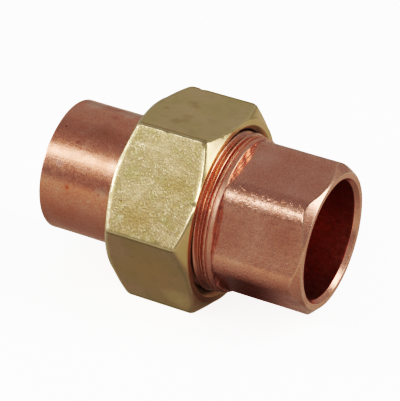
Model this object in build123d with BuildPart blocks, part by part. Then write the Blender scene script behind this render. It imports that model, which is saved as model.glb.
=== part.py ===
"""Pipe union, nominal 3/4 in, copper to copper with a brass union nut.

Frame: the pipe axis is X, +Z is up, and the origin is on the axis, midway between the two pipe ends.
The tailpiece is on the -X side and the threaded end on the +X side. All sizes are in millimetres.
"""
import os
from math import cos, radians, tan

from build123d import *

INCH = 25.4

# ---- driving dimensions -----------------------------------------------------------------------
overall_length = 53.8
nut_centre_x = -1.7               # the nut sits a little nearer to the tailpiece's end

# solder sockets, for copper tube of 7/8 in outside diameter
socket_radius = 11.17
socket_depth = 0.75 * INCH
waterway_radius = 10.2            # the tube stops on the step down to this bore
mouth_chamfer = 0.6

# tailpiece
tail_radius = 12.4
tail_edge_round = 0.45
shoulder_radius = 13.9            # the ring that the nut pulls on
shoulder_edge_round = 0.3
nose_chamfer_land = 0.5           # flat ring left round the bore at the nose

# union nut
nut_across_flats = 1.375 * INCH
nut_length = 17.0
nut_corner_round = 0.6
nut_chamfer_angle = 30            # degrees from the end face
nut_chamfer_radius = 17.3         # where the chamfer leaves the end face
nut_lip_thickness = 3.0
nut_countersink = 1.1
nut_lip_chamfer = 0.4

# thread between the nut and the threaded end, 1 3/16 in with 16 turns to the inch
thread_radius = 1.1875 * INCH / 2
thread_pitch = INCH / 16
thread_half_angle = 30            # degrees
thread_crest = thread_pitch / 8   # width of the flat on a crest
thread_depth = 0.86
thread_sink = 0.1                 # how far a ridge's foot reaches into its wall
thread_start_x = -5.5             # where the male ridge's helix begins, at the top, before it is trimmed
thread_end_gap = 0.3              # both threads start this far inside their mouths
trim_margin = 0.3                 # the cones that trim the threads pass this far beyond them

# threaded end
threaded_face_x = -3.6            # the end of the threaded nose, inside the nut
seat_radius = 13.0                # the cone seat's mouth
thread_relief = 0.3               # plain groove between the thread and the stop ring
ring_start_x = 8.2                # narrow stop ring, with a fine groove between it and the collar
ring_end_x = 8.7
ring_radius = 14.75
groove_radius = 14.35
collar_start_x = 9.0
collar_end_x = 9.9
collar_radius = 14.7              # beside the groove
collar_end_radius = 14.45         # at the wall above the flats
collar_round = 0.12
flats_across = 1.03125 * INCH
flats_corner_round = 5.0
flats_turn = 16.9                 # degrees that the hexagon stands round from a corner at +Y
end_face_radius = 12.8            # the turned end chamfer starts here
end_chamfer_angle = 45
rim_chamfer_radial = 0.55
rim_chamfer_axial = 0.9

# running clearances
lip_clearance = 0.08              # tailpiece in the nut's lip, on the radius
shoulder_clearance = 0.10         # nut's lip behind the tailpiece's shoulder
seat_clearance = 0.10             # along X, between the two cones
crest_clearance = 0.14            # thread, on the radius
flank_clearance = 0.07            # thread, along X

# ---- worked out ---------------------------------------------------------------------------------
tail_end_x = -overall_length / 2
threaded_end_x = overall_length / 2
nut_left_x = nut_centre_x - nut_length / 2
nut_right_x = nut_centre_x + nut_length / 2
lip_face_x = nut_left_x + nut_lip_thickness
shoulder_left_x = lip_face_x + shoulder_clearance
tail_stop_x = tail_end_x + socket_depth
threaded_stop_x = threaded_end_x - socket_depth

# both seats are 45 degree cones, so a step along X is the same step in radius
seat_bottom_x = threaded_face_x + seat_radius - waterway_radius
nose_tip_radius = waterway_radius + nose_chamfer_land
nose_tip_x = threaded_face_x + seat_radius - nose_tip_radius - seat_clearance
shoulder_right_x = nose_tip_x - (shoulder_radius - nose_tip_radius)

male_crest_radius = thread_radius - crest_clearance / 2
male_root_radius = thread_radius - thread_depth
bore_radius = thread_radius + crest_clearance / 2
female_crest_radius = male_root_radius + crest_clearance
flank_slope = tan(radians(thread_half_angle))


def male_half_width(radius):
    """Half the width along X of the male ridge at a radius."""
    return thread_crest / 2 + (male_crest_radius - radius) * flank_slope


def female_half_width(radius):
    """Half the width along X of the female ridge at a radius: what the male thread leaves free."""
    return thread_pitch / 2 - male_half_width(radius) - flank_clearance


def thread_ridge(start_x, length, root_radius, crest_radius, half_width):
    """One helical ridge, right-handed, from start_x towards +X, sunk a little into its wall."""
    foot_radius = root_radius - thread_sink if root_radius < crest_radius else root_radius + thread_sink
    with BuildPart() as ridge:
        with BuildLine():
            path = Helix(thread_pitch, length, root_radius, center=(start_x, 0, 0), direction=(1, 0, 0))
        start = path @ 0
        outward = Vector(0, start.Y, start.Z).normalized()
        axial_plane = Plane(
            origin=(start_x, 0, 0),
            x_dir=(1, 0, 0),
            z_dir=Vector(1, 0, 0).cross(outward),
        )
        with BuildSketch(axial_plane) as section:
            with BuildLine():
                Polyline(
                    (-half_width(foot_radius), foot_radius),
                    (-half_width(crest_radius), crest_radius),
                    (half_width(crest_radius), crest_radius),
                    (half_width(foot_radius), foot_radius),
                    close=True,
                )
            make_face()
        sweep(path=path, is_frenet=True)
    return ridge.part


# ---- tailpiece: plain tube with a solder socket, a shoulder and a cone nose -------------------------
with BuildPart() as tailpiece:
    with BuildSketch(Plane.XY):
        with BuildLine():
            Polyline(
                (tail_end_x, socket_radius),
                (tail_end_x, tail_radius),
                (shoulder_left_x, tail_radius),
                (shoulder_left_x, shoulder_radius),
                (shoulder_right_x, shoulder_radius),
                (nose_tip_x, nose_tip_radius),
                (nose_tip_x, waterway_radius),
                (tail_stop_x, waterway_radius),
                (tail_stop_x, socket_radius),
                close=True,
            )
        make_face()
    revolve(axis=Axis.X)
    tail_end = tailpiece.edges().filter_by(GeomType.CIRCLE).group_by(Axis.X)[0].sort_by(SortBy.RADIUS)
    fillet(tail_end[-1], tail_edge_round)
    chamfer(tail_end[0], mouth_chamfer)
    shoulder_edges = tailpiece.edges().filter_by(GeomType.CIRCLE).filter_by(
        lambda edge: abs(edge.radius - shoulder_radius) < 0.01
    )
    fillet(shoulder_edges.sort_by(Axis.X)[0], shoulder_edge_round)

# ---- union nut: hexagon with a lip at the tailpiece's side and a female thread ----------------------
female_end_x = nut_right_x - nut_countersink - thread_end_gap
with BuildPart() as female_thread:
    female_start_x = thread_start_x + 1.5 * thread_pitch
    add(
        thread_ridge(
            female_start_x, female_end_x - female_start_x + thread_pitch,
            bore_radius, female_crest_radius, female_half_width,
        )
    )
    with BuildSketch(Plane.XY):
        trim_inner = female_crest_radius - trim_margin
        trim_outer = bore_radius + trim_margin
        with BuildLine():
            Polyline(
                (lip_face_x, trim_outer),
                (female_end_x, trim_outer),
                (female_end_x - (trim_outer - trim_inner), trim_inner),
                (lip_face_x, trim_inner),
                close=True,
            )
        make_face()
    revolve(axis=Axis.X, mode=Mode.INTERSECT)

with BuildPart() as union_nut:
    with BuildSketch(Plane.YZ.offset(nut_left_x)) as hexagon:
        RegularPolygon(radius=nut_across_flats / 2, side_count=6, major_radius=False)
        fillet(hexagon.vertices(), nut_corner_round)
    extrude(amount=nut_length)
    nut_corner_radius = nut_across_flats / 2 / cos(radians(30))
    chamfer_reach = nut_corner_radius - nut_chamfer_radius
    chamfer_run = chamfer_reach * tan(radians(nut_chamfer_angle))
    with BuildSketch(Plane.XY):
        with BuildLine():
            Polyline(
                (nut_left_x, 0),
                (nut_left_x, nut_chamfer_radius),
                (nut_left_x + chamfer_run, nut_chamfer_radius + chamfer_reach),
                (nut_right_x - chamfer_run, nut_chamfer_radius + chamfer_reach),
                (nut_right_x, nut_chamfer_radius),
                (nut_right_x, 0),
                close=True,
            )
        make_face()
    revolve(axis=Axis.X, mode=Mode.INTERSECT)
    with BuildSketch(Plane.XY):
        lip_bore_radius = tail_radius + lip_clearance
        with BuildLine():
            Polyline(
                (nut_left_x, 0),
                (nut_left_x, lip_bore_radius + nut_lip_chamfer),
                (nut_left_x + nut_lip_chamfer, lip_bore_radius),
                (lip_face_x, lip_bore_radius),
                (lip_face_x, bore_radius),
                (nut_right_x - nut_countersink, bore_radius),
                (nut_right_x, bore_radius + nut_countersink),
                (nut_right_x, 0),
                close=True,
            )
        make_face()
    revolve(axis=Axis.X, mode=Mode.SUBTRACT)
    add(female_thread.part)

# ---- threaded end: cone seat, male thread, stop ring, collar and hexagonal wrench flats --------------
male_end_x = ring_start_x - thread_relief
with BuildPart() as male_thread:
    add(
        thread_ridge(
            thread_start_x, male_end_x - thread_start_x + thread_pitch,
            male_root_radius, male_crest_radius, male_half_width,
        )
    )
    with BuildSketch(Plane.XY):
        trim_inner = male_root_radius - trim_margin
        trim_outer = male_crest_radius + trim_margin
        with BuildLine():
            Polyline(
                (threaded_face_x + thread_end_gap, trim_inner),
                (threaded_face_x + thread_end_gap + trim_outer - trim_inner, trim_outer),
                (male_end_x, trim_outer),
                (male_end_x, trim_inner),
                close=True,
            )
        make_face()
    revolve(axis=Axis.X, mode=Mode.INTERSECT)

with BuildPart() as threaded_end:
    with BuildSketch(Plane.YZ.offset(collar_end_x)) as hexagon:
        RegularPolygon(radius=flats_across / 2, side_count=6, major_radius=False, rotation=flats_turn)
        fillet(hexagon.vertices(), flats_corner_round)
    extrude(amount=threaded_end_x - collar_end_x)
    end_reach = collar_radius - end_face_radius
    with BuildSketch(Plane.XY):
        with BuildLine():
            Polyline(
                (collar_end_x, 0),
                (collar_end_x, collar_radius),
                (threaded_end_x - end_reach / tan(radians(end_chamfer_angle)), collar_radius),
                (threaded_end_x, end_face_radius),
                (threaded_end_x, 0),
                close=True,
            )
        make_face()
    revolve(axis=Axis.X, mode=Mode.INTERSECT)
    with BuildSketch(Plane.XY) as core:
        with BuildLine():
            Polyline(
                (threaded_face_x, 0),
                (threaded_face_x, male_root_radius),
                (ring_start_x, male_root_radius),
                (ring_start_x, ring_radius),
                (ring_end_x, ring_radius),
                (ring_end_x, groove_radius),
                (collar_start_x, groove_radius),
                (collar_start_x, collar_radius),
                (collar_end_x, collar_end_radius),
                (collar_end_x, 0),
                close=True,
            )
        make_face()
        outer_corners = core.vertices().filter_by(lambda corner: corner.Y > groove_radius + collar_round / 2)
        fillet(outer_corners, collar_round)
    revolve(axis=Axis.X)
    add(male_thread.part)
    with BuildSketch(Plane.XY):
        with BuildLine():
            Polyline(
                (threaded_face_x, 0),
                (threaded_face_x, seat_radius),
                (seat_bottom_x, waterway_radius),
                (threaded_stop_x, waterway_radius),
                (threaded_stop_x, socket_radius),
                (threaded_end_x - rim_chamfer_axial, socket_radius),
                (threaded_end_x, socket_radius + rim_chamfer_radial),
                (threaded_end_x, 0),
                close=True,
            )
        make_face()
    revolve(axis=Axis.X, mode=Mode.SUBTRACT)

# ---- one STEP file for each piece -------------------------------------------------------------------
pieces = {"tailpiece": tailpiece, "union_nut": union_nut, "threaded_end": threaded_end}
os.makedirs("parts", exist_ok=True)
for name, piece in pieces.items():
    piece.part.label = name
    export_step(piece.part, f"parts/{name}.step")
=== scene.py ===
"""Looks of the pipe union: three pieces of finely meshed metal, on a pale floor in soft studio light."""
import math

import bpy
import numpy as np
from mathutils import Matrix, Vector


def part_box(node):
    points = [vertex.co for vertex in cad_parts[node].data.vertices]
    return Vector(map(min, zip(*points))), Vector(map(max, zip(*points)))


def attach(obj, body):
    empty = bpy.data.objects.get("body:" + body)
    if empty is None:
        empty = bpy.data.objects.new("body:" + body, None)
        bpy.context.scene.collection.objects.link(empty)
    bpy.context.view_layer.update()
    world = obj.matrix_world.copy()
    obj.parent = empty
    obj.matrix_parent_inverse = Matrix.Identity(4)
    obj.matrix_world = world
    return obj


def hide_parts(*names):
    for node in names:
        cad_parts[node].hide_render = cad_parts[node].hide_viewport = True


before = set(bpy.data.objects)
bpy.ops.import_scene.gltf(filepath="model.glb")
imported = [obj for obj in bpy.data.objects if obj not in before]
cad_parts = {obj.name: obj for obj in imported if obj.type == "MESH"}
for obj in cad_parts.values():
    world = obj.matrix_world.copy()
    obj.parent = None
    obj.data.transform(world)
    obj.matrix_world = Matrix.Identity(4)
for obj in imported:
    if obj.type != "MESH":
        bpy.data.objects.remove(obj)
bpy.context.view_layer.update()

MM = 0.001                                  # the pieces are in millimetres until their meshes are made
INCH = 25.4


def extent(node, side, axis):
    """One coordinate of a CAD node's box in millimetres: side 0 is the lowest, 1 the highest."""
    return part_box(node)[side][axis] / MM


# ---- sizes from the frame, and those that its boxes don't show ---------------------------------------
TAIL_END = extent("tailpiece", 0, 0)
NOSE_TIP = extent("tailpiece", 1, 0)
SHOULDER_RADIUS = extent("tailpiece", 1, 2)
NUT_LEFT = extent("union_nut", 0, 0)
NUT_RIGHT = extent("union_nut", 1, 0)
NUT_FLAT = extent("union_nut", 1, 2)
THREADED_FACE = extent("threaded_end", 0, 0)
THREADED_END = extent("threaded_end", 1, 0)
THREAD_CREST = extent("threaded_end", 1, 2)
FLOOR_LEVEL = -NUT_FLAT

SOCKET_RADIUS = 11.17
SOCKET_DEPTH = 19.05
SOCKET_CHAMFER = 0.6
WATERWAY_RADIUS = 10.2
TAIL_RADIUS = 12.4
NOSE_TIP_RADIUS = 10.7
SEAT_RADIUS = 13.0

PITCH = INCH / 16
THREAD_RADIUS = INCH * 1.1875 / 2
THREAD_ROOT = THREAD_RADIUS - 0.86
THREAD_PHASE = -5.5                         # a male ridge passes the top of the pipe here
THREAD_END = 7.9

RING_START, RING_END, RING_RADIUS = 8.2, 8.7, 14.75
GROOVE_RADIUS = 14.35
COLLAR_START, COLLAR_END = 9.0, 9.9
COLLAR_RADIUS, COLLAR_END_RADIUS = 14.7, 14.45

SIDES = 6                                   # of the nut and of the threaded end
END_FLAT = INCH * 1.03125 / 2
END_ROUND = 5.0
END_TURN = math.radians(16.9)
END_FACE_RADIUS = 12.8
MOUTH_WIDTH, MOUTH_DEPTH = 0.55, 0.9        # the threaded end's socket opens out by this much

LIP_FACE = NUT_LEFT + 3.0
LIP_BORE = 12.48
LIP_CHAMFER = 0.4
LIP_GAP = 0.1                               # between the nut's lip and the tailpiece's shoulder
NUT_BORE = THREAD_RADIUS + 0.07
NUT_CREST = THREAD_ROOT + 0.14
NUT_THREAD_STOP = 0.3                       # how far inside the countersink the nut's thread begins
COUNTERSINK = 1.1
CHAMFER_RADIUS = 17.3
CHAMFER_ANGLE = math.radians(30)
NUT_ROUND = 0.6
EDGE_WEAR = 0.74                            # width of the strip worn along the edges of the nut's flats
EDGE_DROP = 0.27                            # how far that strip has worn down per millimetre of width

FAR = 9.0                                   # a distance that tells a material that no edge is near


# ---- mesh making ------------------------------------------------------------------------------------
def polygon_radius(angle, sides, flat, corner_round, turn=0.0):
    """Radius, at each angle, of a regular polygon with rounded corners, one of which stands at turn."""
    half = math.pi / sides
    from_flat = (angle - turn) % (2 * half) - half
    radius = flat / np.cos(from_flat)
    centre = (flat - corner_round) / math.cos(half)
    from_corner = half - np.abs(from_flat)
    reach = corner_round**2 - (centre * np.sin(from_corner)) ** 2
    on_arc = np.tan(np.abs(from_flat)) * flat > (flat - corner_round) * math.tan(half)
    arc = centre * np.cos(from_corner) + np.sqrt(np.maximum(reach, 0))
    return np.where(on_arc, arc, radius)


def polygon_angles(sides, flat, corner_round, flat_steps, corner_steps, turn=0.0):
    """Angles round a polygon, evenly spaced along its flats and closer together over its rounded corners."""
    half = math.pi / sides
    reach = (flat - corner_round) * math.tan(half)
    edge = math.atan(reach / flat)
    even = np.linspace(-1, 1, flat_steps + 1)
    along = np.arctan(reach * (0.6 * even + 0.4 * np.sin(even * math.pi / 2)) / flat)
    over = np.linspace(edge, 2 * half - edge, corner_steps + 1)[1:-1]
    one = np.concatenate([along, over])
    return np.concatenate([one + turn + half + 2 * half * side for side in range(sides)])


def closed_profile(corners, rounds, runs, arc_steps=4):
    """Rounds the corners of a closed outline and divides its runs.

    corners is (angles, corners, 2), as x and radius. rounds has how far each corner is rounded, and runs the
    number of steps, or the list of fractions, from each corner to the next. Returns (angles, stations, 2)
    and, for each station, the corner that its run left."""
    before = np.roll(corners, 1, axis=1) - corners
    after = np.roll(corners, -1, axis=1) - corners
    length_before = np.linalg.norm(before, axis=2, keepdims=True)
    length_after = np.linalg.norm(after, axis=2, keepdims=True)
    before, after = before / length_before, after / length_after
    half_turn = np.arccos(np.clip((before * after).sum(2, keepdims=True), -1, 1)) / 2
    cut = np.array(rounds)[None, :, None] / np.maximum(np.tan(half_turn), 1e-3)
    cut = np.minimum(cut, 0.42 * np.minimum(length_before, length_after))
    arc_start, arc_end = corners + before * cut, corners + after * cut
    stations, source = [], []
    count = corners.shape[1]
    for k in range(count):
        steps = np.linspace(0, 1, arc_steps + 1) if rounds[k] else [0.5]
        for t in steps:
            point = (1 - t) ** 2 * arc_start[:, k] + 2 * t * (1 - t) * corners[:, k] + t**2 * arc_end[:, k]
            stations.append(point if rounds[k] else corners[:, k])
            source.append(k)
        goal = arc_start[:, (k + 1) % count] if rounds[(k + 1) % count] else corners[:, (k + 1) % count]
        origin = arc_end[:, k] if rounds[k] else corners[:, k]
        fractions = np.arange(1, runs[k]) / runs[k] if np.isscalar(runs[k]) else runs[k]
        for t in fractions:
            stations.append(origin + (goal - origin) * t)
            source.append(k)
    return np.stack(stations, axis=1), np.array(source)


LATTICE_SIZE = 24


def lattice(seed):
    """Random values at the points of a cube, which repeats past its faces."""
    return np.random.default_rng(seed).uniform(-1, 1, (LATTICE_SIZE, LATTICE_SIZE, LATTICE_SIZE))


def noise(points, scale, seed):
    """Smooth noise from -1 to 1 at points, in features of about scale millimetres."""
    grid = lattice(seed)
    q = points / scale + 1000.0              # far from the lattice's origin, so that no place is negative
    base = np.floor(q).astype(int)
    f = q - base
    f = f * f * (3 - 2 * f)
    value = 0.0
    for corner in range(8):
        offset = np.array([corner & 1, corner >> 1 & 1, corner >> 2 & 1])
        weight = np.prod(np.where(offset, f, 1 - f), axis=-1)
        i = (base + offset) % LATTICE_SIZE
        value = value + weight * grid[i[..., 0], i[..., 1], i[..., 2]]
    return value


def surface_points(angles, profile):
    """Points (angles, stations, 3) of a profile carried round the pipe axis."""
    x, radius = profile[..., 0], profile[..., 1]
    return np.stack([x, radius * np.cos(angles)[:, None], radius * np.sin(angles)[:, None]], axis=-1)


def surface_normals(points):
    """Outward unit normals of a closed grid of points."""
    round_pipe = np.roll(points, -1, axis=0) - np.roll(points, 1, axis=0)
    along = np.roll(points, -1, axis=1) - np.roll(points, 1, axis=1)
    normal = np.cross(round_pipe, along)
    return normal / np.maximum(np.linalg.norm(normal, axis=2, keepdims=True), 1e-9)


def dent(points, normals, centre, radius, depth):
    """Presses a shallow round dent straight into the surface."""
    distance = np.linalg.norm(points - centre, axis=2) / radius
    fall = (1 - np.minimum(distance, 1) ** 2) ** 2
    direction = (normals * fall[..., None]).sum((0, 1))
    direction = direction / max(np.linalg.norm(direction), 1e-9)
    return points - direction * (depth * fall)[..., None]


class Loft:
    """A closed outline carried round the pipe axis, with a name for each of its runs.

    A row of the outline is a run: its name, the x and radius of the corner that it starts from, how far that
    corner is rounded, and the number of steps, or the list of fractions, to the next corner."""

    def __init__(self, angles, outline, arc_steps=4):
        self.names, xs, radii, rounds, runs = zip(*outline)
        places = [np.broadcast_arrays(x, radius, angles)[:2] for x, radius in zip(xs, radii)]
        self.corners = np.stack([np.stack(place, axis=-1) for place in places], axis=1)
        self.profile, self.source = closed_profile(self.corners, rounds, runs, arc_steps)

    def on(self, *names):
        """Which stations are on these runs."""
        return np.isin(self.source, [self.names.index(name) for name in names])

    def from_start(self, *names):
        """Distance in millimetres from each station to the nearest corner that these runs start from."""
        chosen = [self.names.index(name) for name in names]
        gaps = [self.profile - self.corners[:, k : k + 1] for k in chosen]
        return np.min([np.linalg.norm(gap, axis=2) for gap in gaps], axis=0)


def corner_distance(angle, sides, flat, turn=0.0):
    """Distance in millimetres, along a flat, from each angle to the nearest corner of a polygon."""
    half = math.pi / sides
    from_flat = (angle - turn) % (2 * half) - half
    return flat * (math.tan(half) - np.abs(np.tan(from_flat)))


def make_piece(name, points, materials, inside, attributes):
    """A closed mesh object from a grid of points that joins up both ways.

    The first material is on the outside, and the second on the stations that inside marks."""
    count, stations = points.shape[:2]
    i, j = np.meshgrid(np.arange(count), np.arange(stations), indexing="ij")
    here = i * stations + j
    right = (i + 1) % count * stations + j
    both = (i + 1) % count * stations + (j + 1) % stations
    up = i * stations + (j + 1) % stations
    faces = np.stack([here, right, both, up], axis=-1).reshape(-1, 4)
    mesh = bpy.data.meshes.new(name)
    mesh.from_pydata((points.reshape(-1, 3) * MM).tolist(), [], faces.tolist())
    for material in materials:
        mesh.materials.append(material)
    mesh.polygons.foreach_set("material_index", np.tile(inside, count).astype(np.int32))
    mesh.polygons.foreach_set("use_smooth", np.ones(len(mesh.polygons), bool))
    for key, values in attributes.items():
        layer = mesh.attributes.new(key, "FLOAT", "POINT")
        spread = np.broadcast_to(values, (count, stations)).astype(np.float32)
        layer.data.foreach_set("value", spread.ravel())
    mesh.update()
    piece = bpy.data.objects.new(name, mesh)
    bpy.context.scene.collection.objects.link(piece)
    return piece


def thread_wave(x, angle, phase, crest, half_width_at_root):
    """Height from 0 to 1 of a trapezoid ridge of the right-handed thread."""
    turn = (x - phase) / PITCH - angle / (2 * math.pi)
    offset = np.abs(turn - np.round(turn)) * PITCH
    return np.clip((half_width_at_root - offset) / (half_width_at_root - crest / 2), 0, 1)


# ---- materials --------------------------------------------------------------------------------------
# What the vertices tell the materials, from 0 to 1 or in millimetres of distance:
#   edge    distance from an edge that is rubbed bright
#   raw     how freshly cut the copper is
#   matt    1 on the torn ring and collar
#   foot    distance from the line where the wrench flats meet the collar
#   ridge   1 along the rounded corners of the wrench flats
#   corner  distance along a flat of the nut to the corner where two flats meet
#   turned  1 where the nut was turned, 0 on its flats
#   forged  how pebbled each flat was left
#   bore_and_copper_reflection  1 in the nut's bore; on its right face and countersink, a painted reflection
#   of the copper
#   gap     distance from the mouth of the bore, which lies in the shade
class Nodes:
    """A material's node tree, with short calls for the nodes used here."""

    def __init__(self, name):
        self.material = bpy.data.materials.new(name)
        self.material.use_nodes = True
        self.tree = self.material.node_tree
        self.tree.nodes.clear()
        self.output = self.tree.nodes.new("ShaderNodeOutputMaterial")
        self.shader = self.tree.nodes.new("ShaderNodeBsdfPrincipled")
        self.tree.links.new(self.shader.outputs[0], self.output.inputs[0])
        coordinates = self.tree.nodes.new("ShaderNodeTexCoord")
        scaled = self.tree.nodes.new("ShaderNodeVectorMath")
        scaled.operation = "SCALE"
        scaled.inputs["Scale"].default_value = 1 / MM
        self.tree.links.new(coordinates.outputs["Object"], scaled.inputs[0])
        self.point = scaled.outputs[0]

    def link(self, source, target):
        if isinstance(source, (int, float)):
            target.default_value = source
        elif isinstance(source, tuple):
            target.default_value = source if len(source) == len(target.default_value) else (*source, 1)
        else:
            self.tree.links.new(source, target)

    def math(self, operation, a, b=0.0, c=0.0):
        node = self.tree.nodes.new("ShaderNodeMath")
        node.operation = operation
        for socket, value in zip(node.inputs, (a, b, c)):
            self.link(value, socket)
        return node.outputs[0]

    def times(self, a, b):
        return self.math("MULTIPLY", a, b)

    def opposite(self, value):
        """1 where the value is 0, and 0 where it is 1."""
        return self.math("SUBTRACT", 1.0, value)

    def ragged(self, distance, scale, detail, depth, roughness=0.5):
        """A distance whose border wanders by up to depth."""
        return self.math("MULTIPLY_ADD", self.noise(scale, detail, roughness), depth, distance)

    def stretch(self, lengths, rotation=(0, 0, 0), location=(0, 0, 0)):
        """Coordinates in which a feature of size 1 has these lengths in millimetres along turned axes."""
        node = self.tree.nodes.new("ShaderNodeMapping")
        node.vector_type = "TEXTURE"
        node.inputs["Scale"].default_value = lengths
        node.inputs["Rotation"].default_value = rotation
        node.inputs["Location"].default_value = location
        self.link(self.point, node.inputs[0])
        return node.outputs[0]

    def attribute(self, name):
        node = self.tree.nodes.new("ShaderNodeAttribute")
        node.attribute_name = name
        return node.outputs["Fac"]

    def distance(self, centre):
        """Distance in millimetres from a place."""
        node = self.tree.nodes.new("ShaderNodeVectorMath")
        node.operation = "DISTANCE"
        self.link(self.point, node.inputs[0])
        node.inputs[1].default_value = centre
        return node.outputs["Value"]

    def spot(self, centre, radius):
        """From 1 at a place in millimetres to 0 at about radius from it, with a ragged border."""
        border = self.ragged(self.distance(centre), 1.6 / radius, 2.0, radius)
        return self.ramp(border, radius * 0.6, radius * 1.3, 1.0, 0.0)

    def blend(self, factor, a, b):
        """Between two numbers."""
        return self.math("MULTIPLY_ADD", factor, self.math("SUBTRACT", b, a), a)

    def noise(self, scale, detail=2.0, roughness=0.5, vector=None):
        """Noise from 0 to 1, in features of about 1 / scale."""
        node = self.tree.nodes.new("ShaderNodeTexNoise")
        node.inputs["Scale"].default_value = scale
        node.inputs["Detail"].default_value = detail
        node.inputs["Roughness"].default_value = roughness
        self.link(self.point if vector is None else vector, node.inputs["Vector"])
        return node.outputs[0]

    def ramp(self, value, low, high, low_out=0.0, high_out=1.0):
        """Goes smoothly from low_out to high_out as the value goes from low to high."""
        node = self.tree.nodes.new("ShaderNodeMapRange")
        node.interpolation_type = "SMOOTHSTEP"
        for socket, number in zip(node.inputs, (value, low, high, low_out, high_out)):
            self.link(number, socket)
        return node.outputs[0]

    def mix(self, factor, a, b):
        node = self.tree.nodes.new("ShaderNodeMix")
        node.data_type = "RGBA"
        self.link(factor, node.inputs[0])
        self.link(a, node.inputs[6])
        self.link(b, node.inputs[7])
        return node.outputs[2]

    def bump(self, height, depth, normal=None):
        """depth is in millimetres for a height of 1."""
        node = self.tree.nodes.new("ShaderNodeBump")
        node.inputs["Strength"].default_value = 1.0
        node.inputs["Distance"].default_value = depth * MM
        self.link(height, node.inputs["Height"])
        if normal is not None:
            self.link(normal, node.inputs["Normal"])
        return node.outputs[0]

    def pipe_radius(self):
        """Distance from the pipe axis, in millimetres."""
        node = self.tree.nodes.new("ShaderNodeSeparateXYZ")
        self.link(self.point, node.inputs[0])
        squares = [self.math("POWER", node.outputs[axis], 2.0) for axis in (1, 2)]
        return self.math("SQRT", self.math("ADD", *squares))

    def line(self, value, scale, detail=3.0):
        """Noise along one number: the lines that a turning tool leaves."""
        node = self.tree.nodes.new("ShaderNodeTexNoise")
        node.noise_dimensions = "1D"
        node.inputs["Scale"].default_value = scale
        node.inputs["Detail"].default_value = detail
        self.link(value, node.inputs["W"])
        return node.outputs[0]

    def metal(self, colour, roughness, normal):
        """Links the three to the shader and gives the finished material."""
        self.shader.inputs["Metallic"].default_value = 1.0
        self.link(colour, self.shader.inputs["Base Color"])
        self.link(roughness, self.shader.inputs["Roughness"])
        self.link(normal, self.shader.inputs["Normal"])
        return self.material


def around(x, degrees, radius):
    """A place on the pipe, from its angle round the axis."""
    angle = math.radians(degrees)
    return (x, radius * math.cos(angle), radius * math.sin(angle))


# stains and specks on the plain tube, and patches of painted highlight, reflection, sheen and shade: place
# in millimetres, radius, strength, colour
TUBE_STAINS_AND_PAINTED_LIGHT = [
    # painted shade: dims the highlight band near the nut
    (around(-15.2, 143, TAIL_RADIUS), 2.4, 0.55, (0.72, 0.40, 0.29)),
    # painted reflection: brightens the band that mirrors the table, near the nut
    (around(-14.0, 168, TAIL_RADIUS), 2.0, 0.50, (1.0, 0.76, 0.67)),
    # painted highlight: brightens the highlight band towards the tube's open end
    (around(-23.5, 154, TAIL_RADIUS), 1.6, 0.45, (1.0, 0.76, 0.67)),
    # painted sheen: these two make the top of the tube paler
    (around(-23.5, 80, TAIL_RADIUS), 3.6, 0.50, (1.0, 0.80, 0.70)),
    (around(-16.5, 80, TAIL_RADIUS), 3.6, 0.50, (1.0, 0.80, 0.70)),
    (around(-18.0, 116, TAIL_RADIUS), 4.0, 0.40, (0.68, 0.37, 0.24)),
    (around(-21.1, 172, TAIL_RADIUS), 0.75, 0.75, (0.80, 0.30, 0.12)),
    (around(-21.5, 132, TAIL_RADIUS), 0.65, 0.7, (0.62, 0.27, 0.17)),
    (around(-16.5, 179.5, TAIL_RADIUS), 0.45, 0.6, (0.98, 0.80, 0.72)),
    (around(-14.6, 170.6, TAIL_RADIUS), 0.5, 0.6, (0.70, 0.33, 0.22)),
    (around(-25.2, 121, TAIL_RADIUS), 0.4, 0.8, (0.45, 0.16, 0.10)),
    (around(-18.0, 95, TAIL_RADIUS), 1.0, 0.35, (0.62, 0.30, 0.22)),
    (around(-19.0, 10, TAIL_RADIUS), 0.8, 0.6, (0.70, 0.28, 0.16)),
    (around(-23.0, 290, TAIL_RADIUS), 0.6, 0.6, (0.60, 0.25, 0.16)),
]
# the same on the wrench flats
END_STAINS_AND_PAINTED_LIGHT = [
    # painted light: a paler patch on the upper front flat
    (around(13.0, 98, 13.3), 6.0, 0.45, (1.0, 0.70, 0.60)),
    # painted shade: these two darken the front flat
    (around(13.5, 169, 13.3), 6.5, 0.35, (0.72, 0.40, 0.28)),
    (around(22.5, 161, 13.2), 7.0, 0.40, (0.72, 0.40, 0.28)),
    # painted shade: darkens the lower front flat towards the end
    (around(25.0, 221, 13.2), 4.0, 0.45, (0.62, 0.30, 0.20)),
    (around(14.5, 150, 13.3), 0.5, 0.4, (0.70, 0.36, 0.26)),
    (around(20.0, 110, 13.1), 0.45, 0.4, (0.74, 0.38, 0.28)),
    (around(17.5, 300, 13.4), 0.8, 0.6, (0.70, 0.28, 0.16)),
    (around(12.8, 20, 13.4), 0.6, 0.5, (0.66, 0.30, 0.20)),
]
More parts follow.
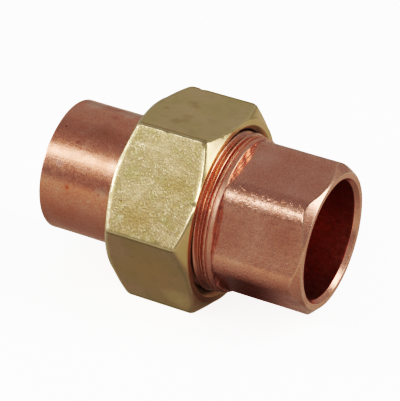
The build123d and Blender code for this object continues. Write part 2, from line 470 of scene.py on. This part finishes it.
# and on the nut
NUT_STAINS_AND_PAINTED_LIGHT = [
    # these two darken broad patches of the front flat
    ((-3.8, -18.2, 3.4), 5.5, 0.60, (0.44, 0.34, 0.17)),
    ((2.5, -14.3, 10.2), 5.5, 0.45, (0.44, 0.35, 0.18)),
    ((-4.3, 3.3, 17.4), 1.7, 0.40, (0.62, 0.50, 0.24)),
    ((-3.2, 2.0, 17.4), 1.8, 0.32, (0.60, 0.48, 0.22)),
    ((-2.5, -2.8, 17.4), 1.9, 0.30, (0.58, 0.47, 0.22)),
    ((-1.9, -4.2, 17.4), 1.6, 0.30, (0.58, 0.47, 0.22)),
    ((-3.3, -5.5, 17.4), 2.2, 0.34, (0.58, 0.47, 0.22)),
    ((-7.5, -1.5, 17.4), 1.1, 0.35, (0.60, 0.48, 0.22)),
    # painted shade inside the knock at this place
    ((-7.2, -17.3, 4.9), 0.45, 0.8, (0.50, 0.36, 0.14)),
    ((-6.5, -18.65, 2.6), 1.1, 0.35, (0.98, 0.90, 0.68)),
    # painted reflection: a warmer, yellower lower front flat
    ((-1.5, -15.1, -8.7), 12.0, 0.55, (0.87, 0.70, 0.38)),
    ((2.0, 17.0, 5.0), 1.5, 0.35, (0.62, 0.44, 0.18)),
    ((-1.0, 3.0, -17.4), 1.6, 0.35, (0.52, 0.37, 0.15)),
    # painted light: brightens the lower corner of that flat
    ((4.0, -12.2, -14.0), 5.5, 0.80, (1.0, 0.86, 0.56)),
]


# mixes in stains, and patches of painted light and shade, one after another
def add_stains_and_painted_light(n, colour, stains_and_painted_light):
    for centre, radius, strength, tint in stains_and_painted_light:
        colour = n.mix(n.times(n.spot(centre, radius), strength), colour, tint)
    return colour


COPPER_GLINT = (1.0, 0.80, 0.72)
COPPER_PIT = (0.70, 0.30, 0.20)
COPPER_CUT = (0.91, 0.62, 0.50)
# the torn burr at the collar's foot, darkened further as painted shade
COPPER_TORN_AND_PAINTED_SHADE = (0.45, 0.15, 0.08)
COPPER_RUBBED = (1.0, 0.74, 0.60)
LINE_DEPTH, SPECK_DEPTH = 0.012, 0.05       # millimetres of relief


def copper(name, pale, brown, roughness, grit, stains_and_painted_light=()):
    """Drawn copper: brown and pale blotches, lines along the pipe, a fine grain, edges rubbed bright, a torn
    collar foot darkened with painted shade, and stains with patches of painted light.
    """
    n = Nodes(name)
    raw = n.attribute("raw")
    thread = n.ramp(raw, 0.3, 0.5)
    blotches = n.ramp(n.noise(0.16, 3.0, 0.6), 0.35, 0.68)
    colour = n.mix(blotches, brown, pale)
    drawn = n.blend(thread, n.noise(1.0, 2.0, 0.6, n.stretch((9.0, 0.45, 0.45))), 0.5)
    colour = n.mix(n.ramp(drawn, 0.40, 0.62, 0.22, 0.0), colour, brown)
    grain = n.blend(thread, n.noise(3.6, 3.0, 0.7), 0.5)
    colour = n.mix(n.ramp(grain, 0.53, 0.66, 0.0, 0.40), colour, COPPER_GLINT)
    colour = n.mix(n.ramp(grain, 0.34, 0.46, 0.42, 0.0), colour, COPPER_PIT)
    colour = n.mix(raw, colour, COPPER_CUT)
    # the burr torn where the wrench flats meet the collar, darkened further with painted shade in that
    # crease
    torn_burr_and_painted_shade = n.ramp(n.ragged(n.attribute("foot"), 1.3, 3.0, 0.9, 0.7), 0.55, 0.75, 0.34, 0.0)
    colour = n.mix(torn_burr_and_painted_shade, colour, COPPER_TORN_AND_PAINTED_SHADE)
    rubbed = n.ramp(n.ragged(n.attribute("edge"), 1.8, 2.0, 0.4), 0.25, 0.45, 0.7, 0.0)
    colour = n.mix(n.times(rubbed, 0.7), colour, COPPER_RUBBED)
    colour = add_stains_and_painted_light(n, colour, stains_and_painted_light)
    rough = n.ramp(n.noise(0.9, 3.0, 0.6), 0.3, 0.7, roughness - 0.04, roughness + 0.06)
    rough = n.math("MULTIPLY_ADD", rubbed, -0.11, rough)
    rough = n.math("MULTIPLY_ADD", n.attribute("matt"), 0.16, rough)
    specks = n.times(n.ramp(n.noise(1.5, 2.0, 0.6), 0.52, 0.66), n.attribute("ridge"))
    normal = n.bump(grain, grit)
    normal = n.bump(drawn, LINE_DEPTH, normal)
    normal = n.bump(specks, SPECK_DEPTH, normal)
    return n.metal(colour, rough, normal)


BRASS_OLIVE, BRASS_CREAM = (0.85, 0.715, 0.46), (0.91, 0.74, 0.53)
BRASS_DULL = (0.47, 0.385, 0.245)
# painted glints on the tops of the pebbles, and painted shade in their hollows
PEBBLE_PAINTED_GLINT, PEBBLE_PAINTED_SHADE = (0.82, 0.70, 0.50), (0.60, 0.47, 0.22)
PATCH_PALE, PATCH_DARK = (0.74, 0.60, 0.42), (0.46, 0.42, 0.225)
BRASS_SCRATCH = (0.95, 0.82, 0.58)
BRASS_RUBBED = (0.99, 0.87, 0.65)
BRASS_TURNED = (0.84, 0.66, 0.40)
# the colour of the nut's bore, also used for the painted reflection of the copper on its right face
BRASS_BORE_AND_COPPER_REFLECTION = (0.82, 0.50, 0.27)
# painted shade in a line beside the corners of the flats
CORNER_PAINTED_SHADE = (0.45, 0.35, 0.10)
GAP_DARK = (0.16, 0.05, 0.03)
ACROSS_FLAT = (0.0, math.radians(48), 0.3)  # the way that the pebbles and scratches of the flats run
SCUFF = ((-6.8, -12.1, 13.9), 2.0)          # a patch rubbed bright: place in millimetres, radius
PEBBLE_DEPTH, SCRATCH_DEPTH, RING_DEPTH = 0.055, 0.025, 0.012


def brass(name):
    """Forged and wrenched brass: pebbled, scratched flats, turned chamfers, edges rubbed bright, and painted
    glints, shade and copper reflection.
    """
    n = Nodes(name)
    turned = n.attribute("turned")
    forged = n.attribute("forged")
    corner = n.attribute("corner")
    edge = n.attribute("edge")
    colour = n.mix(n.ramp(n.noise(0.13, 3.0, 0.6), 0.38, 0.62), BRASS_OLIVE, BRASS_CREAM)
    colour = n.mix(n.times(forged, 0.9), colour, BRASS_DULL)
    pebbles = n.noise(1.0, 2.0, 0.55, n.stretch((0.85, 0.34, 0.34), ACROSS_FLAT))
    pebbled = n.math("MULTIPLY_ADD", forged, 0.75, 0.15)
    # painted glints on the pebble tops, then painted shade in the hollows between them
    colour = n.mix(n.times(n.ramp(pebbles, 0.56, 0.68), pebbled), colour, PEBBLE_PAINTED_GLINT)
    colour = n.mix(n.times(n.ramp(pebbles, 0.32, 0.46, 0.5, 0.0), pebbled), colour, PEBBLE_PAINTED_SHADE)
    patches = n.noise(0.30, 3.0, 0.6, n.stretch((1.0, 0.7, 0.7), ACROSS_FLAT))
    colour = n.mix(n.times(n.ramp(patches, 0.46, 0.72, 0.0, 0.55), forged), colour, PATCH_PALE)
    colour = n.mix(n.times(n.ramp(patches, 0.28, 0.52, 0.6, 0.0), pebbled), colour, PATCH_DARK)
    scratches = n.ramp(n.noise(1.0, 1.5, 0.5, n.stretch((2.0, 0.24, 0.24), ACROSS_FLAT)), 0.60, 0.68)
    colour = n.mix(n.times(scratches, pebbled), colour, BRASS_SCRATCH)
    # painted shade: a dark line along each flat a little way from its corner, none on the most pebbled flat
    painted_shade_beside_corner = n.times(n.ramp(corner, 0.30, 0.45), n.ramp(corner, 0.5, 0.9, 0.6, 0.0))
    colour = n.mix(n.times(painted_shade_beside_corner, n.opposite(forged)), colour, CORNER_PAINTED_SHADE)
    rubbed = n.ramp(n.ragged(edge, 1.5, 2.0, 0.5), 0.45, 0.62, 1.0, 0.0)
    scuffed = n.times(n.spot(*SCUFF), n.ramp(pebbles, 0.42, 0.60))
    rubbed = n.math("MAXIMUM", rubbed, scuffed)
    colour = n.mix(n.times(rubbed, 0.7), colour, BRASS_RUBBED)
    colour = n.mix(n.times(turned, 0.5), colour, BRASS_TURNED)
    # the bore's colour, and a painted reflection of the copper on the nut's right face and countersink
    colour = n.mix(n.attribute("bore_and_copper_reflection"), colour, BRASS_BORE_AND_COPPER_REFLECTION)
    colour = n.mix(n.ramp(n.attribute("gap"), 0.15, 0.75, 0.95, 0.0), colour, GAP_DARK)
    colour = add_stains_and_painted_light(n, colour, NUT_STAINS_AND_PAINTED_LIGHT)
    rough = n.ramp(n.noise(0.8, 3.0, 0.6), 0.3, 0.7, 0.33, 0.39)
    rough = n.math("MULTIPLY_ADD", rubbed, -0.17, rough)
    rough = n.math("MULTIPLY_ADD", turned, -0.02, rough)
    away_from_edge = n.opposite(n.ramp(edge, 0.5, 1.0, 1.0, 0.0))
    skin = n.times(pebbled, away_from_edge)
    relief = n.math("SUBTRACT", pebbles, 0.5)
    rings = n.times(n.line(n.pipe_radius(), 4.0), turned)
    normal = n.bump(n.times(relief, skin), PEBBLE_DEPTH)
    normal = n.bump(n.times(scratches, skin), SCRATCH_DEPTH, normal)
    normal = n.bump(rings, RING_DEPTH, normal)
    return n.metal(colour, rough, normal)


# ---- the pieces -------------------------------------------------------------------------------------
def build_tailpiece(outside, inside):
    """The smooth tube, with a socket at its end and a coned nose at the other."""
    angles = np.linspace(0, 2 * math.pi, 380, endpoint=False)
    stop = TAIL_END + SOCKET_DEPTH
    nose_foot = NOSE_TIP - (SHOULDER_RADIUS - NOSE_TIP_RADIUS)
    shoulder_left = LIP_FACE + LIP_GAP
    shape = Loft(angles, [
        ("tube", TAIL_END, TAIL_RADIUS, 0.45, 100),
        ("shoulder face", shoulder_left, TAIL_RADIUS, 0, 4),
        ("shoulder", shoulder_left, SHOULDER_RADIUS, 0.3, 8),
        ("nose", nose_foot, SHOULDER_RADIUS, 0.15, 8),
        ("nose tip", NOSE_TIP, NOSE_TIP_RADIUS, 0.1, 2),
        ("waterway", NOSE_TIP, WATERWAY_RADIUS, 0.1, 10),
        ("stop", stop, WATERWAY_RADIUS, 0, 3),
        ("socket", stop, SOCKET_RADIUS, 0, 30),
        ("mouth", TAIL_END + SOCKET_CHAMFER, SOCKET_RADIUS, 0.2, 3),
        ("end face", TAIL_END, SOCKET_RADIUS + SOCKET_CHAMFER, 0.15, 2),
    ])
    points = surface_points(angles, shape.profile)
    normals = surface_normals(points)
    drawn = 0.9 + 0.1 * noise(points * (0.15, 1, 1), 2.2, 13)
    wave = -0.03 + 0.02 * noise(points, 7.0, 11) + 0.006 * noise(points * (0.25, 1, 1), 1.3, 12) * drawn
    wave = wave * shape.on("tube") * np.clip((shape.profile[..., 0] - TAIL_END) / 1.2, 0, 1)
    points = points + normals * wave[..., None]
    attributes = {
        "edge": shape.from_start("tube", "shoulder face", "end face"),
        "raw": shape.on("shoulder face") * 0.3,
        "matt": 0.0,
        "ridge": 0.0,
        "foot": FAR,
    }
    hidden = shape.on("waterway", "stop", "socket")
    return make_piece("tailpiece_metal", points, [outside, inside], hidden, attributes)


# how pebbled and dull each flat of the nut was left, going round from +Y
FORGED = (0.6, 0.08, 1.0, 0.15, 0.5, 0.8)

# knocks on the nut: place in millimetres, radius, depth
NUT_DENTS = [
    ((-7.2, -17.3, 4.9), 0.55, 0.16),
    ((6.3, -15.9, 7.4), 0.9, 0.14),
    ((5.0, -10.2, 17.3), 0.9, 0.08),
    ((5.6, -18.2, 4.4), 0.7, 0.10),
    ((6.3, -5.6, 17.4), 0.7, 0.14),
    ((6.3, -8.1, 17.4), 0.6, 0.12),
    ((-2.5, -10.1, 17.4), 0.8, 0.10),
    ((2.0, -20.1, 0.2), 0.9, 0.10),
    ((-6.0, 10.1, 17.4), 0.9, 0.14),
    ((1.5, 20.1, 0.0), 1.0, 0.16),
    ((4.0, 10.1, -17.4), 0.8, 0.14),
    ((-8.8, 16.0, 9.0), 0.8, 0.12),
    ((3.0, 15.5, 8.5), 0.5, 0.10),
]


def nut_thread(shape, angles):
    """The radius of the nut's bore, with its thread, at every station."""
    x = shape.profile[..., 0]
    stop = NUT_RIGHT - COUNTERSINK - NUT_THREAD_STOP
    lead = np.clip((stop - x) / (NUT_BORE - NUT_CREST), 0, 1)
    lead = lead * np.clip((x - THREAD_PHASE - 1.5 * PITCH) / 0.6, 0, 1)
    ridge = thread_wave(x, angles[:, None], THREAD_PHASE + PITCH / 2, 0.52, 0.68)
    return NUT_BORE - (NUT_BORE - NUT_CREST) * np.minimum(ridge, lead)


def build_nut(material):
    """The hexagon nut: chamfered flats with worn edges and knocks, a threaded bore and a lip."""
    angles = polygon_angles(SIDES, NUT_FLAT, NUT_ROUND, 54, 8)
    flat = polygon_radius(angles, SIDES, NUT_FLAT, NUT_ROUND)
    chamfer = (flat - CHAMFER_RADIUS) * math.tan(CHAMFER_ANGLE)
    near_edge = np.linspace(0, 0.055, 9)[1:]
    along_flat = np.concatenate([near_edge, np.linspace(0.075, 0.925, 36), 1 - near_edge[::-1]])
    shape = Loft(angles, [
        ("left chamfer", NUT_LEFT, CHAMFER_RADIUS, 0.3, 8),
        ("flats", NUT_LEFT + chamfer, flat, 0.4, along_flat),
        ("right chamfer", NUT_RIGHT - chamfer, flat, 0.4, 8),
        ("right face", NUT_RIGHT, CHAMFER_RADIUS, 0.3, 3),
        ("countersink", NUT_RIGHT, NUT_BORE + COUNTERSINK, 0.15, 5),
        ("bore", NUT_RIGHT - COUNTERSINK, NUT_BORE, 0.08, 80),
        ("lip face", LIP_FACE, NUT_BORE, 0, 5),
        ("lip", LIP_FACE, LIP_BORE, 0, 6),
        ("lip chamfer", NUT_LEFT + LIP_CHAMFER, LIP_BORE, 0.1, 2),
        ("left face", NUT_LEFT, LIP_BORE + LIP_CHAMFER, 0.1, 6),
    ])
    radius = shape.profile[..., 1]
    flats = shape.on("flats")
    outer = shape.on("left chamfer", "flats", "right chamfer")
    worn = shape.from_start("flats", "right chamfer")
    inward = np.clip(shape.from_start("left chamfer", "right face") / 0.5, 0, 1) * outer
    ragged = 0.12 * noise(surface_points(angles, shape.profile), 2.5, 25)
    strip = np.clip(EDGE_WEAR + ragged - worn, 0, 1)
    crown = EDGE_DROP * strip**2 / (strip + 0.05) * np.minimum(inward * 2.4, 1)
    in_bore = shape.on("bore") & (np.abs(radius - NUT_BORE) < 0.01)
    shape.profile[..., 1] = np.where(in_bore, nut_thread(shape, angles), radius - crown)
    points = surface_points(angles, shape.profile)
    normals = surface_normals(points)
    hammered = (0.5 + 0.5 * noise(points, 9.0, 24)) * np.clip(worn / 0.8, 0, 1) * flats
    wave = (-0.04 + 0.02 * noise(points, 5.0, 21)) * inward
    wave = wave + (0.012 * noise(points, 1.1, 22) + 0.008 * noise(points, 0.6, 23)) * hammered
    points = points + normals * wave[..., None]
    for centre, size, depth in NUT_DENTS:
        points = dent(points, normals, centre, size, depth)
    across = np.where(flats, corner_distance(angles, SIDES, NUT_FLAT)[:, None], FAR)
    side = (angles % (2 * math.pi) // (2 * math.pi / SIDES)).astype(int)
    # painted reflection of the copper: strongest on the lower front of the nut's right face and countersink
    painted_copper_reflection = np.clip(np.cos(angles - math.radians(205)), 0, 1)[:, None]
    attributes = {
        "edge": np.where(outer, np.minimum(worn, across), FAR),
        "corner": across,
        "turned": ~flats * 1.0,
        "forged": np.array(FORGED)[side][:, None] * flats,
        "bore_and_copper_reflection": shape.on("bore", "lip face") + shape.on("right face", "countersink") * 0.8 * painted_copper_reflection,
        "gap": np.where(shape.on("countersink", "bore"), shape.from_start("bore"), FAR),
    }
    return make_piece("union_nut_metal", points, [material], shape.on(), attributes)


def male_thread(shape, angles):
    """The radius of the threaded end's thread at every station."""
    x = shape.profile[..., 0]
    depth = THREAD_CREST - THREAD_ROOT
    ridge = thread_wave(x, angles[:, None], THREAD_PHASE, 0.2, 0.6)
    lead = np.clip((x - THREADED_FACE - 0.3) / depth - 0.35, 0, 1)
    run_out = np.clip((THREAD_END - x) / 0.12 + 0.5, 0, 1)
    return THREAD_ROOT + depth * np.minimum(ridge, lead * run_out)


def build_threaded_end(outside, inside):
    """The male end: a thread, a torn ring and collar, six rounded wrench flats and a socket."""
    angles = polygon_angles(SIDES, END_FLAT, END_ROUND, 38, 16, END_TURN)
    flat = polygon_radius(angles, SIDES, END_FLAT, END_ROUND, END_TURN)
    stop = THREADED_END - SOCKET_DEPTH
    seat_bottom = THREADED_FACE + SEAT_RADIUS - WATERWAY_RADIUS
    along_thread = np.concatenate([np.arange(0.012, 0.62, 0.0125), np.arange(0.62, 0.996, 0.0056)])
    shape = Loft(angles, [
        ("thread", THREADED_FACE, THREAD_ROOT, 0, along_thread),
        ("ring left", RING_START, THREAD_ROOT, 0, 4),
        ("ring", RING_START, RING_RADIUS, 0.12, 4),
        ("ring right", RING_END, RING_RADIUS, 0.12, 3),
        ("groove", RING_END, GROOVE_RADIUS, 0, 3),
        ("collar face", COLLAR_START, GROOVE_RADIUS, 0, 3),
        ("collar", COLLAR_START, COLLAR_RADIUS, 0.12, 8),
        ("collar foot", COLLAR_END, COLLAR_END_RADIUS, 0.18, 7),
        ("wrench flats", COLLAR_END, flat, 0.1, 52),
        ("end chamfer", THREADED_END - (flat - END_FACE_RADIUS), flat, 0.25, 8),
        ("end face", THREADED_END, END_FACE_RADIUS, 0.14, 4),
        ("mouth", THREADED_END, SOCKET_RADIUS + MOUTH_WIDTH, 0.12, 7),
        ("socket", THREADED_END - MOUTH_DEPTH, SOCKET_RADIUS, 0.12, 26),
        ("stop", stop, SOCKET_RADIUS, 0, 3),
        ("waterway", stop, WATERWAY_RADIUS, 0, 14),
        ("seat", seat_bottom, WATERWAY_RADIUS, 0, 6),
        ("threaded face", THREADED_FACE, SEAT_RADIUS, 0, 3),
    ], arc_steps=3)
    x, radius = shape.profile[..., 0], shape.profile[..., 1]
    ring = shape.on("ring left", "ring", "ring right", "groove")
    collar = shape.on("collar face", "collar")
    rough_cut = noise(surface_points(angles, shape.profile) * (0.6, 1, 1), 0.55, 34)
    above = np.clip(radius - GROOVE_RADIUS, 0, 1)
    radius = radius - above * (ring * 0.20 + collar * 0.10) * (0.6 - rough_cut)
    threaded = shape.on("thread") & (np.abs(radius - THREAD_ROOT) < 0.01)
    shape.profile[..., 1] = np.where(threaded, male_thread(shape, angles), radius)
    points = surface_points(angles, shape.profile)
    normals = surface_normals(points)
    round_foot = shape.on("collar foot", "wrench flats")
    foot = np.exp(-(((x - COLLAR_END - 0.12) / 0.16) ** 2)) * round_foot
    outer = shape.on("collar foot", "wrench flats", "end chamfer", "end face", "mouth")
    wave = (0.02 * noise(points, 5.0, 31) - 0.03) * outer * np.clip(shape.from_start("socket") / 0.6, 0, 1)
    wave = wave - foot * (0.07 + 0.06 * noise(points, 0.7, 35))
    points = points + normals * wave[..., None]
    points[..., 0] += foot * 0.14 * noise(points * (0.3, 1, 1), 1.4, 36)
    near_corner = np.clip(1 - corner_distance(angles, SIDES, END_FLAT, END_TURN)[:, None] / 3.5, 0, 1)
    attributes = {
        "edge": shape.from_start("ring", "ring right", "collar", "end chamfer", "end face"),
        "raw": shape.on("thread") * 0.8 + (ring | collar) * 0.35,
        "matt": ring | collar,
        "ridge": shape.on("wrench flats") * near_corner,
        "foot": np.where(round_foot, shape.from_start("wrench flats"), FAR),
    }
    hidden = shape.on("socket", "stop", "waterway", "seat")
    return make_piece("threaded_end_metal", points, [outside, inside], hidden, attributes)


tail_copper = copper("tail_copper", (0.94, 0.60, 0.48), (0.91, 0.52, 0.385), 0.25, 0.011, TUBE_STAINS_AND_PAINTED_LIGHT)
end_copper = copper("end_copper", (0.94, 0.62, 0.51), (0.90, 0.55, 0.43), 0.26, 0.017, END_STAINS_AND_PAINTED_LIGHT)
bore_copper = copper("bore_copper", (0.95, 0.38, 0.27), (0.82, 0.28, 0.19), 0.32, 0.008)
nut_brass = brass("nut_brass")
pieces = [
    (build_tailpiece(tail_copper, bore_copper), "tailpiece", "tailpiece_copper"),
    (build_nut(nut_brass), "union_nut", "nut_brass"),
    (build_threaded_end(end_copper, bore_copper), "threaded_end", "threaded_end_copper"),
]
for piece, node, slot in pieces:
    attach(piece, node)
    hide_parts(node)


# ---- floor, light and camera --------------------------------------------------------------------------
FLOOR_GAP = 0.0001                          # metres between the lowest flat and the floor
FLOOR_HALF, SHADE_HALF = 12.0, 0.03         # metres
SHADE_PLACE = (12.0, -4.0, FLOOR_LEVEL)     # the darkest place of the shade and its spread, in millimetres
SHADE_SPREAD = (8.0, 14.0, 8.0)


def make_sheet(name, half, z, material):
    """A level square, half as wide as given, at the height z. Both are in metres."""
    mesh = bpy.data.meshes.new(name)
    corners = [(-half, -half, z), (half, -half, z), (half, half, z), (-half, half, z)]
    mesh.from_pydata(corners, [], [(0, 1, 2, 3)])
    mesh.materials.append(material)
    sheet = bpy.data.objects.new(name, mesh)
    bpy.context.scene.collection.objects.link(sheet)
    return sheet


def make_floor():
    """A pale table, lit from within so that it stays pale. Its light doesn't reach the metal."""
    n = Nodes("floor")
    mottle = n.ramp(n.noise(0.02, 2.0), 0.3, 0.7)
    n.link(n.mix(mottle, (0.86, 0.86, 0.86), (0.90, 0.90, 0.90)), n.shader.inputs["Base Color"])
    n.shader.inputs["Roughness"].default_value = 0.9
    n.shader.inputs["Emission Color"].default_value = (1, 1, 1, 1)
    n.shader.inputs["Emission Strength"].default_value = 1.35
    floor = make_sheet("floor", FLOOR_HALF, FLOOR_LEVEL * MM - FLOOR_GAP, n.material)
    floor.visible_glossy = False
    floor.visible_diffuse = False


def make_shade():
    """Painted shadow: a red-brown sheet round the nut's foot, which only the metal reflects, standing in for
    the object's shade on the table.
    """
    n = Nodes("shade")
    oval = n.tree.nodes.new("ShaderNodeVectorMath")
    oval.operation = "LENGTH"
    n.link(n.stretch(SHADE_SPREAD, location=SHADE_PLACE), oval.inputs[0])
    n.link(n.mix(n.noise(0.3), (0.34, 0.09, 0.035), (0.28, 0.075, 0.03)), n.shader.inputs["Base Color"])
    n.link(n.ramp(oval.outputs["Value"], 0.1, 1.35, 0.94, 0.0), n.shader.inputs["Alpha"])
    shade = make_sheet("shade", SHADE_HALF, FLOOR_LEVEL * MM - FLOOR_GAP / 2, n.material)
    shade.visible_camera = False
    shade.visible_diffuse = False
    shade.visible_shadow = False


LAMP_DISTANCE = 0.6                         # metres from the object

# name, the direction that it stands in, width and height in metres, radiance
SOFTBOXES = [
    ("key", (-0.30, -0.735, 0.608), 0.54, 0.15, 1.95),
    ("left", (-0.765, -0.555, 0.326), 0.22, 0.19, 3.6),
    ("front", (0.22, -0.84, 0.52), 0.30, 0.17, 2.0),
    ("rim", (-0.985, -0.12, 0.08), 0.10, 0.26, 2.2),
    ("right", (0.80, 0.25, 0.50), 0.30, 0.66, 2.4),
]


def softbox(name, direction, width, height, radiance):
    """A rectangular area light that looks at the origin. Its power follows from the radiance wanted."""
    data = bpy.data.lights.new(name, "AREA")
    data.shape = "RECTANGLE"
    data.size, data.size_y = width, height
    data.energy = radiance * width * height * math.pi
    lamp = bpy.data.objects.new(name, data)
    away = Vector(direction).normalized()
    lamp.location = away * LAMP_DISTANCE
    lamp.rotation_euler = away.to_track_quat("Z", "Y").to_euler()
    bpy.context.scene.collection.objects.link(lamp)


# height of a direction, and the light that comes from there: warm from the table, neutral from above
WARM, NEUTRAL = (1.0, 0.965, 0.90), (1.0, 1.0, 1.0)
SKY = [
    (-0.98, 0.36, WARM), (-0.87, 0.42, WARM), (-0.65, 0.53, WARM),
    (-0.36, 0.61, WARM), (-0.20, 0.70, WARM), (-0.125, 0.85, WARM),
    (-0.085, 0.39, NEUTRAL), (0.10, 0.38, NEUTRAL), (0.27, 0.50, NEUTRAL), (0.45, 0.51, NEUTRAL),
    (0.65, 0.45, NEUTRAL), (0.82, 0.51, NEUTRAL), (0.90, 0.37, NEUTRAL), (0.97, 0.36, NEUTRAL),
]


def make_world():
    """Even grey light from above, and from below that of a pale table which darkens under the object."""
    world = bpy.data.worlds.new("studio")
    bpy.context.scene.world = world
    world.use_nodes = True
    tree = world.node_tree
    background = tree.nodes["Background"]
    direction = tree.nodes.new("ShaderNodeTexCoord")
    split = tree.nodes.new("ShaderNodeSeparateXYZ")
    tree.links.new(direction.outputs["Generated"], split.inputs[0])
    ramp = tree.nodes.new("ShaderNodeValToRGB")
    rise = tree.nodes.new("ShaderNodeMapRange")
    rise.inputs["From Min"].default_value = -1.0
    tree.links.new(split.outputs[2], rise.inputs[0])
    tree.links.new(rise.outputs[0], ramp.inputs[0])
    stops = ramp.color_ramp.elements
    while len(stops) < len(SKY):
        stops.new(0.5)
    for stop, (level, light, tint) in zip(stops, SKY):
        stop.position = (level + 1) / 2
        stop.color = (*(light * part for part in tint), 1)
    tree.links.new(ramp.outputs[0], background.inputs[0])
    background.inputs[1].default_value = 1.0


# light that comes in, and how much of white it is shown as
TONES = [(0.17, 0.05), (0.39, 0.25), (0.68, 0.53), (1.08, 0.76), (1.6, 0.92)]
WHITE_LIGHT = 2.4                           # the light that is shown as full white


def photographic_tones():
    """A film-like response: deep shadows, full midtones and pale, slowly clipping highlights."""
    view = bpy.context.scene.view_settings
    view.view_transform = "Standard"
    view.use_curve_mapping = True
    curves = view.curve_mapping
    curves.white_level = (WHITE_LIGHT, WHITE_LIGHT, WHITE_LIGHT)
    overall = curves.curves[3]
    for light, shown in TONES:
        overall.points.new(light / WHITE_LIGHT, shown)
    curves.update()


def make_camera():
    """A long lens, above the object and to its right, turned a little about its own axis."""
    yaw, pitch, roll = math.radians(25.53), math.radians(26.75), math.radians(4.64)
    distance = 0.454
    aim = Vector((-0.25, 0.62, -0.14)) * MM
    back = Vector((math.sin(yaw) * math.cos(pitch), -math.cos(yaw) * math.cos(pitch), math.sin(pitch)))
    level = Vector((0, 0, 1)).cross(back).normalized()
    upright = back.cross(level)
    right = level * math.cos(roll) + upright * math.sin(roll)
    up = upright * math.cos(roll) - level * math.sin(roll)
    data = bpy.data.cameras.new("camera")
    data.sensor_fit = "HORIZONTAL"
    data.sensor_width = 36
    data.lens = 222.6
    data.clip_end = 40
    camera = bpy.data.objects.new("camera", data)
    place = Matrix((right, up, back)).transposed().to_4x4()
    place.translation = aim + back * distance
    camera.matrix_world = place
    bpy.context.scene.collection.objects.link(camera)
    bpy.context.scene.camera = camera


make_floor()
for box in SOFTBOXES:
    softbox(*box)
make_shade()
make_world()
make_camera()
photographic_tones()
